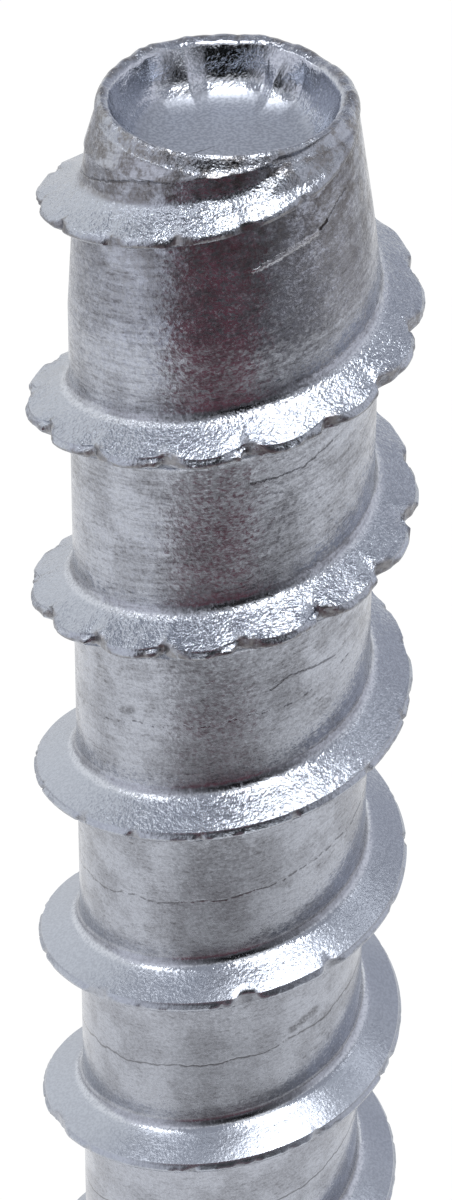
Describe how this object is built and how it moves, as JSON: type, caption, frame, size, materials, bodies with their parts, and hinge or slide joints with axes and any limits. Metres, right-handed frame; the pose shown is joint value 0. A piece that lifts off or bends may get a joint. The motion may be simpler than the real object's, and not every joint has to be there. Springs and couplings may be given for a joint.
{
  "type": "concrete screw",
  "caption": "Zinc-plated concrete screw with a hex washer head, plain shank, coarse cutting thread serrated towards the tip, and a dished tip.",
  "frame": {"origin": "centre of the head's outer face, on which the screw stands", "axes": "+Z along the screw's axis, from the head to the tip; +X and +Y are square to it, with two corners of the hexagon on the X axis"},
  "size_m": [0.0252, 0.0252, 0.0852],
  "materials": {
    "zinc_plated_steel": "satin zinc plating with fine speckle, brighter on the thread's flanks"
  },
  "bodies": {
    "root": {"concrete_screw": "zinc_plated_steel"}
  },
  "joints": []
}
